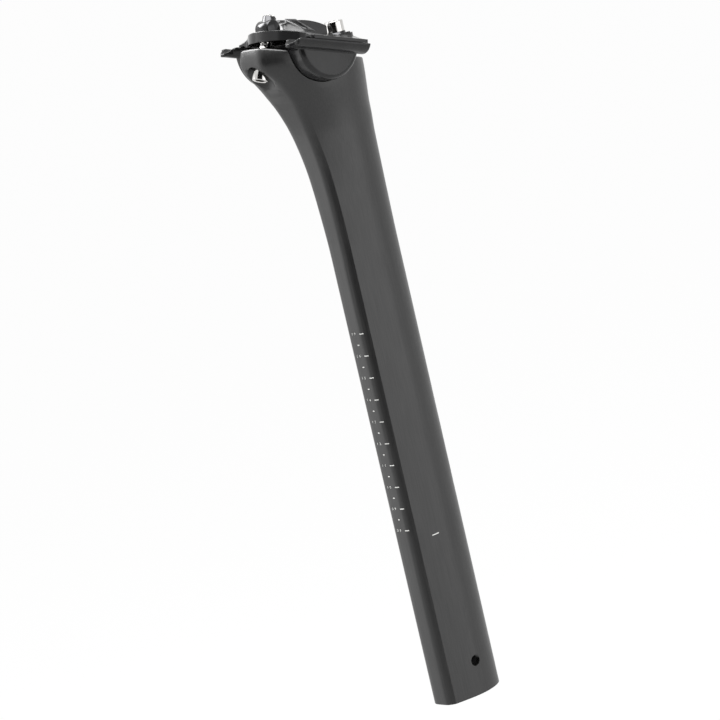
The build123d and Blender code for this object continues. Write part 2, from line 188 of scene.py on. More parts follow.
def settle(piece: bpy.types.Object, body: Body, slot: Slot, *stands_for: str) -> None:
    """Says what a piece rides on and which CAD nodes it stands for.

    Args:
        piece: the finished piece.
        body: the rigid body that carries it.
        slot: the record's material slot; not used.
        stands_for: CAD nodes that it replaces.
    """
    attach(piece, body.value)
    if stands_for:
        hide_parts(*stands_for)
    log.info("%s rides on %s", piece.name, body.value)


@dataclass
class NodeSketch:
    """A tree of nodes in the making."""

    name: str
    tree: bpy.types.NodeTree = field(init=False)

    def fill_in(self, node: bpy.types.Node, **inputs: object) -> None:
        """Gives sockets of a node their values, with underscores for spaces in their names."""
        for name, value in inputs.items():
            node.inputs[name.replace("_", " ")].default_value = value

    def node(self, kind: str, **inputs: object) -> bpy.types.Node:
        """Adds a node.

        Args:
            kind: Blender's name for the node's type.
            inputs: values of its sockets, with underscores for spaces.

        Returns:
            The new node.
        """
        made = self.tree.nodes.new(kind)
        self.fill_in(made, **inputs)
        return made

    def link(self, source: Socket, target: Socket) -> None:
        """Joins two sockets."""
        self.tree.links.new(source, target)

    def combined(self, how: str, first: Socket, second: Socket | float) -> Socket:
        """Works out a value from two others.

        Args:
            how: Blender's name for the operation.
            first: the first value.
            second: the second one, as a socket or a number.

        Returns:
            The socket with the result.
        """
        maths = self.node("ShaderNodeMath")
        maths.operation = how
        self.link(first, maths.inputs[0])
        if isinstance(second, float):
            maths.inputs[1].default_value = second
        else:
            self.link(second, maths.inputs[1])
        return maths.outputs["Value"]

    def seen_share(self) -> Socket:
        """Adds a value that is 1 for what the camera sees, by itself, in metal or through glass.

        Returns:
            The socket with the value.
        """
        paths = self.node("ShaderNodeLightPath")
        share = paths.outputs["Is Camera Ray"]
        for name in ("Is Glossy Ray", "Is Transmission Ray"):
            share = self.combined("MAXIMUM", share, paths.outputs[name])
        return share


@dataclass
class WorldSketch(NodeSketch):
    """The scene's surroundings in the making, without any node yet."""

    def __post_init__(self) -> None:
        """Makes the world and puts it into the scene."""
        world = bpy.data.worlds.new(self.name)
        bpy.context.scene.world = world
        world.use_nodes = True
        world.node_tree.nodes.clear()
        self.tree = world.node_tree


@dataclass(frozen=True)
class Grain:
    """A noise: its cells to the metre, the share of those along each axis, and its finer octaves."""

    scale: float
    stretch: Point = (1.0, 1.0, 1.0)
    detail: float = 2.0


@dataclass(frozen=True)
class Relief:
    """Fine relief: its depth, the share of it that shows, and the radius of the edges in the light."""

    depth: float
    strength: float
    rounding: float


@dataclass
class ShaderSketch(NodeSketch):
    """A material in the making."""

    material: bpy.types.Material = field(init=False)
    edge_samples: int = 6

    def __post_init__(self) -> None:
        """Makes the material with its one shader."""
        self.material = bpy.data.materials.new(self.name)
        self.material.use_nodes = True
        self.tree = self.material.node_tree

    @property
    def surface(self) -> bpy.types.Node:
        """The material's main shader."""
        return self.tree.nodes["Principled BSDF"]

    def tune(self, **inputs: object) -> None:
        """Sets values of the main shader, with underscores for spaces in their names."""
        self.fill_in(self.surface, **inputs)

    def dress(self, colour: Socket, roughness: Socket) -> None:
        """Gives the main shader its colour and its roughness."""
        self.link(colour, self.surface.inputs["Base Color"])
        self.link(roughness, self.surface.inputs["Roughness"])

    def noise(self, grain: Grain) -> Socket:
        """Adds a noise in the piece's own frame.

        Args:
            grain: its sizes.

        Returns:
            The socket with the noise, from 0 to 1.
        """
        coordinates = self.node("ShaderNodeTexCoord")
        mapping = self.node("ShaderNodeMapping", Scale=grain.stretch)
        noise = self.node("ShaderNodeTexNoise", Scale=grain.scale, Detail=grain.detail)
        self.link(coordinates.outputs["Object"], mapping.inputs["Vector"])
        self.link(mapping.outputs["Vector"], noise.inputs["Vector"])
        return noise.outputs["Fac"]

    def spread(self, factor: Socket, low: float, high: float) -> Socket:
        """Maps the middle of a noise to a range of values.

        Args:
            factor: the noise.
            low: value where the noise is low.
            high: value where it is high.

        Returns:
            The socket with the mapped value.
        """
        mapped = self.node("ShaderNodeMapRange", From_Min=0.3, From_Max=0.7, To_Min=low, To_Max=high)
        self.link(factor, mapped.inputs["Value"])
        return mapped.outputs["Result"]

    def tint(self, factor: Socket, low: Colour, high: Colour) -> Socket:
        """Mixes two colours by a noise.

        Args:
            factor: the noise.
            low: colour where the noise is low.
            high: colour where it is high.

        Returns:
            The socket with the colour.
        """
        mix = self.node("ShaderNodeMix")
        mix.data_type = "RGBA"
        colours = [socket for socket in mix.inputs if socket.type == "RGBA"]
        colours[0].default_value = (*low, 1.0)
        colours[1].default_value = (*high, 1.0)
        self.link(self.spread(factor, 0.0, 1.0), mix.inputs["Factor"])
        return [socket for socket in mix.outputs if socket.type == "RGBA"][0]

    def emboss(self, height: Socket, relief: Relief) -> None:
        """Turns a noise into fine relief on the surface and rounds its edges in the light.

        Args:
            height: the noise.
            relief: the sizes of both.
        """
        rounded = self.node("ShaderNodeBevel", Radius=relief.rounding)
        rounded.samples = self.edge_samples
        bump = self.node("ShaderNodeBump", Strength=relief.strength, Distance=relief.depth)
        self.link(height, bump.inputs["Height"])
        self.link(rounded.outputs["Normal"], bump.inputs["Normal"])
        self.link(bump.outputs["Normal"], self.surface.inputs["Normal"])


@dataclass(frozen=True)
class MatteCarbon:
    """Matte black over moulded carbon fibre, with faint fibres along the shaft."""

    name: str = "matte_carbon"
    dark: Colour = (0.0085, 0.0085, 0.0088)
    light: Colour = (0.016, 0.0159, 0.0157)
    roughness: Pair = (0.30, 0.37)
    index: float = 1.5
    fibres: Grain = Grain(2600.0, (1.0, 1.0, 0.03))
    clouds: Grain = Grain(90.0, (1.0, 1.0, 0.6), detail=4.0)
    pebbles: Grain = Grain(1500.0, detail=3.0)
    relief: Relief = Relief(depth=0.06 * MM, strength=0.35, rounding=0.3 * MM)

    def build(self) -> bpy.types.Material:
        """Makes the material.

        Returns:
            The material.
        """
        shader = ShaderSketch(self.name)
        fibres = shader.noise(self.fibres)
        clouds = shader.noise(self.clouds)
        pebbles = shader.noise(self.pebbles)
        shader.dress(shader.tint(fibres, self.dark, self.light), shader.spread(clouds, *self.roughness))
        shader.emboss(pebbles, self.relief)
        shader.tune(IOR=self.index)
        return shader.material


@dataclass(frozen=True)
class BlackAnodised:
    """Forged aluminium, blasted and anodised satin black."""

    name: str = "black_anodised"
    dark: Colour = (0.009, 0.009, 0.0092)
    light: Colour = (0.014, 0.014, 0.0144)
    roughness: Pair = (0.14, 0.20)
    index: float = 1.36
    clouds: Grain = Grain(160.0, detail=4.0)
    blasting: Grain = Grain(6500.0)
    relief: Relief = Relief(depth=0.02 * MM, strength=0.15, rounding=0.6 * MM)

    def build(self) -> bpy.types.Material:
        """Makes the material.

        Returns:
            The material.
        """
        shader = ShaderSketch(self.name)
        clouds = shader.noise(self.clouds)
        blasting = shader.noise(self.blasting)
        shader.dress(shader.tint(clouds, self.dark, self.light), shader.spread(blasting, *self.roughness))
        shader.emboss(blasting, self.relief)
        shader.tune(IOR=self.index)
        return shader.material


@dataclass(frozen=True)
class TurnedSteel:
    """Steel turned on a lathe, with faint tool marks."""

    name: str
    dark: Colour
    light: Colour
    roughness: Pair
    clouds: Grain = Grain(300.0, detail=3.0)
    marks: Grain = Grain(4000.0, (0.1, 0.1, 1.0))
    relief: Relief = Relief(depth=0.01 * MM, strength=0.15, rounding=0.15 * MM)

    def build(self) -> bpy.types.Material:
        """Makes the material.

        Returns:
            The material.
        """
        shader = ShaderSketch(self.name)
        clouds = shader.noise(self.clouds)
        marks = shader.noise(self.marks)
        shader.dress(shader.tint(clouds, self.dark, self.light), shader.spread(marks, *self.roughness))
        shader.emboss(marks, self.relief)
        shader.tune(Metallic=1.0)
        return shader.material


@dataclass(frozen=True)
class ScalePrint:
    """Pale ink of the scale, slightly uneven."""

    name: str = "scale_ink"
    thin: Colour = (0.55, 0.55, 0.53)
    full: Colour = (0.80, 0.80, 0.78)
    roughness: float = 0.5
    patches: Grain = Grain(3000.0)

    def build(self) -> bpy.types.Material:
        """Makes the material.

        Returns:
            The material.
        """
        shader = ShaderSketch(self.name)
        patches = shader.noise(self.patches)
        shader.link(shader.tint(patches, self.thin, self.full), shader.surface.inputs["Base Color"])
        shader.tune(Roughness=self.roughness)
        return shader.material


@dataclass
class Workshop:
    """The finishes, each made once, and what every sub-assembly needs from the frame."""

    nodes: dict[str, bpy.types.Object]
    weld_reach: float = 0.002 * MM
    sliver_reach: float = 0.001 * MM
    carbon: bpy.types.Material = field(init=False)
    anodised: bpy.types.Material = field(init=False)
    polished: bpy.types.Material = field(init=False)
    blackened: bpy.types.Material = field(init=False)
    ink: bpy.types.Material = field(init=False)

    def __post_init__(self) -> None:
        """Makes the finishes."""
        self.carbon = MatteCarbon().build()
        self.anodised = BlackAnodised().build()
        self.polished = TurnedSteel(
            name="polished_steel",
            dark=(0.52, 0.51, 0.495),
            light=(0.66, 0.65, 0.635),
            roughness=(0.07, 0.13),
        ).build()
        self.blackened = TurnedSteel(
            name="blackened_steel",
            dark=(0.030, 0.030, 0.031),
            light=(0.05, 0.05, 0.052),
            roughness=(0.16, 0.26),
        ).build()
        self.ink = ScalePrint().build()

    def welded(
        self,
        node_name: str,
        piece_name: str,
        finish: bpy.types.Material,
        sharp_angle: float = 28.0,
        reshape: Callable[[bmesh.types.BMesh], None] | None = None,
    ) -> bpy.types.Object:
        """Makes the shown copy of a CAD node, with its loose triangles joined.

        Args:
            node_name: the CAD node.
            piece_name: name of the copy.
            finish: its material.
            sharp_angle: edges flatter than this, in degrees, shade smooth.
            reshape: changes the copy before it is shown.

        Returns:
            The copy, which stands for the node.
        """
        shape = bmesh.new()
        shape.from_mesh(self.nodes[node_name].data)
        bmesh.ops.remove_doubles(shape, verts=shape.verts, dist=self.weld_reach)
        bmesh.ops.dissolve_degenerate(shape, edges=shape.edges, dist=self.sliver_reach)
        if reshape:
            reshape(shape)
        return place(smoothed(finished(shape, piece_name, finish), sharp_angle), piece_name)


@dataclass
class NodeModifier(NodeSketch):
    """A Geometry Nodes tree in the making, with named inputs for its sizes."""

    inputs: bpy.types.Node = field(init=False)
    sockets: dict[str, str] = field(init=False, default_factory=dict)

    def __post_init__(self) -> None:
        """Makes an empty tree with its output."""
        self.tree = bpy.data.node_groups.new(self.name, "GeometryNodeTree")
        self.tree.interface.new_socket("Geometry", in_out="OUTPUT", socket_type="NodeSocketGeometry")
        self.inputs = self.tree.nodes.new("NodeGroupInput")

    def size(self, name: str, kind: str = "NodeSocketFloat") -> Socket:
        """Adds a named input.

        Args:
            name: its name.
            kind: Blender's name for its type.

        Returns:
            Its socket inside the tree.
        """
        made = self.tree.interface.new_socket(name, in_out="INPUT", socket_type=kind)
        self.sockets[name] = made.identifier
        return self.inputs.outputs[name]

    def close(self, geometry: Socket) -> None:
        """Ends the tree in real geometry with the piece's finish.

        Args:
            geometry: what the tree has made.
        """
        finish = self.size("Finish", "NodeSocketMaterial")
        real = self.node("GeometryNodeRealizeInstances")
        dressed = self.node("GeometryNodeSetMaterial")
        output = self.node("NodeGroupOutput")
        self.link(geometry, real.inputs["Geometry"])
        self.link(real.outputs["Geometry"], dressed.inputs["Geometry"])
        self.link(finish, dressed.inputs["Material"])
        self.link(dressed.outputs["Geometry"], output.inputs["Geometry"])

    def run(self, values: dict[str, object], finish: bpy.types.Material) -> bpy.types.Mesh:
        """Evaluates the tree.

        Args:
            values: the named sizes.
            finish: material of the result.

        Returns:
            The result as a plain mesh.
        """
        carrier = place(bpy.data.meshes.new(self.name), self.name + "_carrier")
        modifier = carrier.modifiers.new(self.name, "NODES")
        modifier.node_group = self.tree
        for name, value in {**values, "Finish": finish}.items():
            modifier[self.sockets[name]] = value
        return plain_mesh(carrier)


def thread_tree(steps_per_turn: int = 40, ridge_corners: int = 4) -> NodeModifier:
    """Makes the tree of a screw thread: a ridge that winds up from the origin along +Z.

    Args:
        steps_per_turn: points of one turn.
        ridge_corners: corners of the ridge's section.

    Returns:
        The tree, with inputs for the thread's sizes.
    """
    thread = NodeModifier("screw_thread")
    length = thread.size("Length")
    pitch = thread.size("Pitch")
    crest = thread.size("Crest Radius")
    ridge = thread.size("Ridge")
    spiral = thread.node("GeometryNodeCurveSpiral", Resolution=steps_per_turn)
    thread.link(thread.combined("DIVIDE", length, pitch), spiral.inputs["Rotations"])
    middle = thread.combined("SUBTRACT", crest, ridge)
    thread.link(middle, spiral.inputs["Start Radius"])
    thread.link(middle, spiral.inputs["End Radius"])
    thread.link(length, spiral.inputs["Height"])
    profile = thread.node("GeometryNodeCurvePrimitiveCircle", Resolution=ridge_corners)
    thread.link(ridge, profile.inputs["Radius"])
    sweep = thread.node("GeometryNodeCurveToMesh", Fill_Caps=True)
    thread.link(spiral.outputs["Curve"], sweep.inputs["Curve"])
    thread.link(profile.outputs["Curve"], sweep.inputs["Profile Curve"])
    thread.close(sweep.outputs["Mesh"])
    return thread


def tick_tree(points_along: int = 9) -> NodeModifier:
    """Makes the tree of a row of ticks that climbs from the origin along +Z.

    Args:
        points_along: points along a tick, which let it follow a curved surface.

    Returns:
        The tree, with inputs for the row's sizes.
    """
    ticks = NodeModifier("scale_ticks")
    count = ticks.size("Count", "NodeSocketInt")
    step = ticks.size("Step", "NodeSocketVector")
    size = ticks.size("Tick", "NodeSocketVector")
    row = ticks.node("GeometryNodeMeshLine")
    ticks.link(count, row.inputs["Count"])
    ticks.link(step, row.inputs["Offset"])
    tick = ticks.node("GeometryNodeMeshCube", Vertices_X=2, Vertices_Y=points_along, Vertices_Z=2)
    ticks.link(size, tick.inputs["Size"])
    spread = ticks.node("GeometryNodeInstanceOnPoints")
    ticks.link(row.outputs["Mesh"], spread.inputs["Points"])
    ticks.link(tick.outputs["Mesh"], spread.inputs["Instance"])
    ticks.close(spread.outputs["Instances"])
    return ticks


@dataclass
class PostScale:
    """The printed scale on the tail and the line on the right side."""

    shop: Workshop
    lowest: float = 81.5 * MM
    pitch: float = 10.0 * MM
    count: int = 10
    first_number: int = 8
    long_tick: Pair = (2.2 * MM, 0.4 * MM)
    long_place: float = -3.5 * MM
    short_tick: Pair = (1.0 * MM, 0.45 * MM)
    number_place: float = 1.5 * MM
    number_height: float = 1.15 * MM
    font_share: float = 1.4
    letter_gap: float = 2.2
    curve_steps: int = 2
    line_start: Pair = (-7.6 * MM, 76.45 * MM)
    line_end: Pair = (-4.3 * MM, 76.65 * MM)
    line_width: float = 0.45 * MM
    line_cuts: int = 7
    ink_lift: float = 0.02 * MM
    ray_start: float = 100.0 * MM
    surface: BVHTree = field(init=False)

    def __post_init__(self) -> None:
        """Keeps the post's surface, on which the ink lies."""
        carbon = self.shop.nodes["post"].data
        corners = [vertex.co.copy() for vertex in carbon.vertices]
        self.surface = BVHTree.FromPolygons(corners, [tuple(face.vertices) for face in carbon.polygons])

    def lay(self, mesh: bpy.types.Mesh, side: Side) -> None:
        """Moves a flat mark onto the carbon.

        Args:
            mesh: the mark, whose own thickness lies across zero along the side's direction.
            side: the side that it is printed on.
        """
        ray = Vector(side.value)
        for vertex in mesh.vertices:
            depth = vertex.co.dot(ray)
            start = vertex.co - ray * (depth + self.ray_start)
            hit = self.surface.ray_cast(start, ray)[0]
            vertex.co = hit + ray * depth

    def ticks(self, name: str, size: Pair, place_y: float, lowest: float, count: int) -> bpy.types.Mesh:
        """Makes one row of ticks on the tail.

        Args:
            name: name of the mesh.
            size: length and width of a tick.
            place_y: middle of the ticks.
            lowest: height of the lowest tick.
            count: how many there are.

        Returns:
            The ticks, laid on the tail.
        """
        values = {"Count": count, "Step": (0.0, 0.0, self.pitch), "Tick": (2 * self.ink_lift, *size)}
        mesh = tick_tree().run(values, self.shop.ink)
        mesh.name = name
        mesh.transform(Matrix.Translation((0.0, place_y, lowest)))
        self.lay(mesh, Side.TAIL)
        return mesh

    def number(self, value: int, height: float) -> bpy.types.Mesh:
        """Makes one number beside its tick, read from behind.

        Args:
            value: the number.
            height: height of its tick.

        Returns:
            The number, laid on the tail.
        """
        letters = bpy.data.curves.new("scale_number", "FONT")
        letters.body = f"{value:02d}"
        letters.size = self.number_height * self.font_share
        letters.space_character = self.letter_gap
        letters.align_x = "CENTER"
        letters.align_y = "CENTER"
        letters.extrude = self.ink_lift
        letters.resolution_u = self.curve_steps
        mesh = plain_mesh(place(letters, "scale_number"))
        seen_from_behind = Matrix(
            (
                (0, 0, -1, 0),
                (-1, 0, 0, self.number_place),
                (0, 1, 0, height),
                (0, 0, 0, 1),
            )
        )
        mesh.transform(seen_from_behind)
        self.lay(mesh, Side.TAIL)
        mesh.materials.clear()
        mesh.materials.append(self.shop.ink)
        return mesh

    def side_line(self) -> bpy.types.Mesh:
        """Makes the short line on the right side.

        Returns:
            The line, laid on the side.
        """
        start, end = (Vector((x, 0.0, z)) for x, z in (self.line_start, self.line_end))
        along = end - start
        shape = bmesh.new()
        bmesh.ops.create_cube(shape, size=1.0)
        lengthwise = [edge for edge in shape.edges if edge.verts[0].co.x != edge.verts[1].co.x]
        bmesh.ops.subdivide_edges(shape, edges=lengthwise, cuts=self.line_cuts, use_grid_fill=True)
        turn = Matrix.Rotation(-math.atan2(along.z, along.x), 4, "Y")
        stretch = Matrix.Diagonal((along.length, 2 * self.ink_lift, self.line_width, 1.0))
        shape.transform(Matrix.Translation((start + end) / 2) @ turn @ stretch)
        mesh = finished(shape, "side_line", self.shop.ink)
        self.lay(mesh, Side.RIGHT)
        return mesh

    def build(self) -> None:
        """Prints the scale and the line."""
        rows = {
            "scale_long_ticks": (self.long_tick, self.long_place, self.lowest, self.count),
            "scale_short_ticks": (self.short_tick, 0.0, self.lowest + self.pitch / 2, self.count - 1),
        }
        marks = {name: self.ticks(name, *sizes) for name, sizes in rows.items()}
        marks["side_line"] = self.side_line()
        for index in range(self.count):
            value = self.first_number + index
            marks[f"scale_number_{value}"] = self.number(value, self.lowest + index * self.pitch)
        for name, mesh in marks.items():
            settle(place(mesh, name), Body.MAST, Slot.CARBON)


@dataclass
class SocketBolt:
    """A socket-head bolt with a real thread, in place of its plain CAD stand-in."""

    shop: Workshop
    name: str
    seat: Point
    towards_head: Point
    head_diameter: float
    length: float
    thread_length: float
    body: Body
    head_height: float = 5.0 * MM
    thread_diameter: float = 5.0 * MM
    thread_pitch: float = 0.8 * MM
    thread_depth: float = 0.42 * MM
    socket_size: float = 4.0 * MM
    socket_depth: float = 3.0 * MM
    mouth_radius: float = 2.48 * MM
    mouth_depth: float = 0.24 * MM
    drill_radius: float = 0.8 * MM
    edge: float = 0.4 * MM
    shoulder: float = 0.12 * MM
    sides: int = 48
    sharp_angle: float = 35.0

    def ring(self, height: float, radius: Callable[[float], float]) -> Ring:
        """Points of one ring round the bolt's axis.

        Args:
            height: place along the axis, from the head's underside.
            radius: gives the radius at an angle.

        Returns:
            The ring's points in the bolt's own frame.
        """
        angles = [2 * math.pi * step / self.sides for step in range(self.sides)]
        return [Vector((radius(a) * math.cos(a), radius(a) * math.sin(a), height)) for a in angles]

    def round_ring(self, radius: float, height: float) -> Ring:
        """Points of a round ring."""
        return self.ring(height, lambda angle: radius)

    def hexagon_ring(self, across: float, height: float) -> Ring:
        """Points of a ring that follows a hexagon of this size across its flats."""
        sixth = math.pi / 3
        return self.ring(height, lambda angle: across / 2 / math.cos((angle % sixth) - sixth / 2))

    def rings(self) -> list[Ring]:
        """Works out all rings of the bolt but for its thread.

        Returns:
            The rings from the tip up the shank, over the head and down into the socket.
        """
        core = self.thread_diameter / 2 - self.thread_depth
        shank = self.thread_diameter / 2
        head = self.head_diameter / 2
        top = self.head_height
        edge = self.edge
        thread_top = self.thread_length - self.length
        return [
            self.round_ring(core - edge, -self.length),
            self.round_ring(core, edge - self.length),
            self.round_ring(core, thread_top),
            self.round_ring(shank, thread_top + self.thread_depth),
            self.round_ring(shank, 0.0),
            self.round_ring(head - edge / 2, 0.0),
            self.round_ring(head, edge / 2),
            self.round_ring(head, top - edge),
            self.round_ring(head - self.shoulder, top - self.shoulder),
            self.round_ring(head - edge, top),
            self.round_ring(self.mouth_radius, top),
            self.hexagon_ring(self.socket_size, top - self.mouth_depth),
            self.hexagon_ring(self.socket_size, top - self.socket_depth),
            self.round_ring(self.drill_radius, top - self.socket_depth - edge),
        ]

    def turned(self) -> bmesh.types.BMesh:
        """Makes head and core.

        Returns:
            Both as one closed shape.
        """
        shape = bmesh.new()
        loops = skin_rings(shape, self.rings())
        shape.faces.new(list(reversed(loops[0])))
        shape.faces.new(loops[-1])
        bmesh.ops.recalc_face_normals(shape, faces=shape.faces)
        return shape

    def build(self) -> None:
        """Turns the bolt, winds its thread and puts it in its place."""
        sizes = {
            "Length": self.thread_length - self.edge,
            "Pitch": self.thread_pitch,
            "Crest Radius": self.thread_diameter / 2,
            "Ridge": self.thread_depth,
        }
        shape = self.turned()
        thread = thread_tree().run(sizes, self.shop.polished)
        thread.transform(Matrix.Translation((0.0, 0.0, self.edge - self.length)))
        shape.from_mesh(thread)
        axis = Vector(self.towards_head).normalized()
        turn = axis.to_track_quat("Z", "Y").to_matrix().to_4x4()
        shape.transform(Matrix.Translation(Vector(self.seat)) @ turn)
        mesh = smoothed(finished(shape, self.name, self.shop.polished), self.sharp_angle)
        settle(place(mesh, self.name + "_turned"), self.body, Slot.BOLT_STEEL, self.name)


@dataclass(frozen=True)
class Station:
    """How far the post has grown into its head at one height.

    Overhang and flare are shares of the head's own. Height, half the tail's flat and the radius of the
    corner beside it are in millimetres.
    """

    height: float
    overhang: float
    flare: float
    tail_flat: float
    corner: float

    def sizes(self) -> tuple[float, ...]:
        """All values but the height."""
        return (self.overhang, self.flare, self.tail_flat, self.corner)


@dataclass
class Neck:
    """The skin of the neck, in fair lines from the plain shaft up to the head, with sizes in millimetres.

    It stands for the same stretch of the CAD skin, whose loft waves a little above the shaft, and covers
    the ends of the hidden nut. An outline has a flat tail, two round corners that end in a crease, two
    sides and a half-ellipse nose.
    """

    lower: float = 203.0
    upper: float = 277.0
    blend_from: float = 261.0
    ring_step: float = 1.0
    shaft_reach: float = 17.0
    shaft_half_width: float = 9.85
    head_overhang: float = 22.9
    head_nose: float = 0.9
    head_widening: float = 7.35
    corner_turn: float = math.radians(54.0)
    head_turn: float = math.radians(45.0)
    shaft_crease: float = math.radians(20.0)
    shaft_fullness: float = 2 / 3
    head_fullness: float = 0.18
    widest: float = -0.3
    head_widest_back: float = 4.5
    crease_until: float = 268.0
    crease_reach: float = 0.03
    nut_height: float = 262.5
    nut_front: float = 14.5
    nut_spread: float = 5.0
    nut_cover: float = 0.045
    flat_steps: int = 4
    corner_steps: int = 9
    side_steps: int = 16
    cut_reach: float = 0.0001
    opening_reach: float = 0.9
    ray_lift: float = 0.2
    ray_start: float = 100.0
    stations: tuple[Station, ...] = (
        Station(190.0, 0.0, 0.0, 2.3, 5.9),
        Station(205.0, 0.0, 0.0, 2.3, 5.9),
        Station(227.0, 0.026, 0.08, 2.6, 5.9),
        Station(245.0, 0.085, 0.20, 2.9, 5.9),
        Station(259.0, 0.196, 0.32, 3.4, 5.8),
        Station(268.0, 0.305, 0.50, 4.1, 5.7),
        Station(277.0, 0.460, 0.78, 5.6, 4.7),
        Station(284.0, 0.640, 0.96, 5.8, 5.2),
    )

    def tail(self, station: Station) -> float:
        """Place of the flat tail along X."""
        return -self.shaft_reach - self.head_overhang * station.overhang

    def nose(self, station: Station) -> float:
        """Place of the nose along X."""
        return self.shaft_reach + self.head_nose * station.flare

    def station_at(self, height: float) -> Station:
        """Works out a station by smooth curves through the given ones.

        Args:
            height: its height. Below the second given station the shaft is plain.

        Returns:
            The station.
        """
        height = max(height, self.stations[1].height)
        starts = range(1, len(self.stations) - 2)
        index = max(i for i in starts if self.stations[i].height <= height)
        before, start, end, after = self.stations[index - 1 : index + 3]
        span = end.height - start.height
        share = (height - start.height) / span
        values = []
        for a, b, c, d in zip(before.sizes(), start.sizes(), end.sizes(), after.sizes()):
            slope_in = (c - a) / (end.height - before.height) * span
            slope_out = (d - b) / (after.height - start.height) * span
            if index == 1:
                slope_in = 0.0
            square, cube = share**2, share**3
            values.append(
                (2 * cube - 3 * square + 1) * b
                + (cube - 2 * square + share) * slope_in
                + (3 * square - 2 * cube) * c
                + (cube - square) * slope_out
            )
        return Station(height, *values)

    def half(self, station: Station) -> list[Pair]:
        """Works out the left half of an outline.

        Args:
            station: the station that it belongs to.

        Returns:
            Its points from the middle of the tail round to the nose, with the crease where the corner ends.
        """
        grown = max(station.flare, 0.0)
        tail, nose = self.tail(station), self.nose(station)
        half_width = self.shaft_half_width + self.head_widening * station.flare
        turn = self.corner_turn + (self.head_turn - self.corner_turn) * grown
        fullness = self.shaft_fullness + self.head_fullness * grown
        widest = self.widest - self.head_widest_back * grown
        points = [(tail, station.tail_flat * step / self.flat_steps) for step in range(self.flat_steps)]
        for step in range(self.corner_steps + 1):
            angle = turn * step / self.corner_steps
            inward = station.corner * (1 - math.cos(angle))
            points.append((tail + inward, station.tail_flat + station.corner * math.sin(angle)))
        start = Vector(points[-1])
        end = Vector((widest, half_width))
        slope = math.pi / 2 - turn - self.shaft_crease * (1 - grown)
        bend = Vector((start.x + (half_width - start.y) / math.tan(slope), half_width))
        first, second = start.lerp(bend, fullness), end.lerp(bend, fullness)
        for step in range(1, self.side_steps + 1):
            t = step / self.side_steps
            left = 1 - t
            point = start * left**3 + first * 3 * t * left**2 + second * 3 * t * t * left + end * t**3
            points.append((point.x, point.y))
        for step in range(1, self.side_steps + 1):
            angle = math.pi / 2 * step / self.side_steps
            points.append((widest + (nose - widest) * math.sin(angle), half_width * math.cos(angle)))
        return points

    def ring(self, height: float) -> Ring:
        """Works out the whole outline at a height, a hair fuller over the hidden nut's ends.

        Args:
            height: the height.

        Returns:
            Its points in metres, clockwise seen from above.
        """
        half = self.half(self.station_at(height))
        mirrored = [(x, -y) for x, y in reversed(half[1:-1])]
        rise = math.exp(-(((height - self.nut_height) / self.nut_spread) ** 2))
        points = []
        for x, y in half + mirrored:
            share = math.exp(-(((x - self.nut_front) / self.nut_spread) ** 2))
            points.append(Vector((x, y * (1 + self.nut_cover * rise * share), height)) * MM)
        return points

    def fitted(self, points: Ring, height: float, skin: BVHTree) -> Ring:
        """Draws a ring onto the CAD skin where the neck runs into the head.

        Args:
            points: the ring.
            height: its height.
            skin: the CAD skin. Where it lies too far off, it is an opening's and isn't followed.

        Returns:
            The drawn ring.
        """
        share = eased((height - self.blend_from) / (self.upper - self.blend_from))
        middle = (points[0] + points[len(points) // 2]) / 2
        drawn = []
        for point in points:
            outward = (point - middle).normalized()
            hit = skin.ray_cast(middle + outward * self.ray_start * MM, -outward)[0]
            near = hit is not None and (hit - point).length < self.opening_reach * MM
            drawn.append(point.lerp(hit, share) if near else point)
        return drawn

    def relay(self, shape: bmesh.types.BMesh) -> None:
        """Replaces the CAD skin of the neck in a copy of the post.

        Args:
            shape: the copy, in metres.
        """
        skin = BVHTree.FromBMesh(shape)
        for height in (self.lower, self.upper):
            bmesh.ops.bisect_plane(
                shape,
                geom=shape.verts[:] + shape.edges[:] + shape.faces[:],
                dist=self.cut_reach * MM,
                plane_co=(0, 0, height * MM),
                plane_no=(0, 0, 1),
            )
        outer = []
        for face in shape.faces:
            centre = face.calc_center_median()
            if not self.lower * MM < centre.z < self.upper * MM:
                continue
            station = self.station_at(centre.z / MM)
            middle = (self.tail(station) + self.nose(station)) / 2 * MM
            outward = Vector((centre.x - middle, centre.y, 0.0)).normalized()
            if skin.ray_cast(centre + outward * self.ray_lift * MM, outward)[0] is None:
                outer.append(face)
        bmesh.ops.delete(shape, geom=outer, context="FACES")
        count = round((self.upper - self.lower) / self.ring_step)
        heights = [self.lower + (self.upper - self.lower) * step / count for step in range(count + 1)]
        rings = [self.fitted(self.ring(height), height, skin) for height in heights]
        skin_rings(shape, [list(reversed(ring)) for ring in rings])

    def on_crease(self, point: Vector) -> bool:
        """Tells whether a point lies on one of the two creases of the shaft or the neck.

        Args:
            point: the point, in metres.

        Returns:
            Whether it does.
        """
        height = point.z / MM
        if height > self.crease_until:
            return False
        crease = self.ring(height)[self.flat_steps + self.corner_steps]
        return math.hypot(point.x - crease.x, abs(point.y) - crease.y) < self.crease_reach * MM


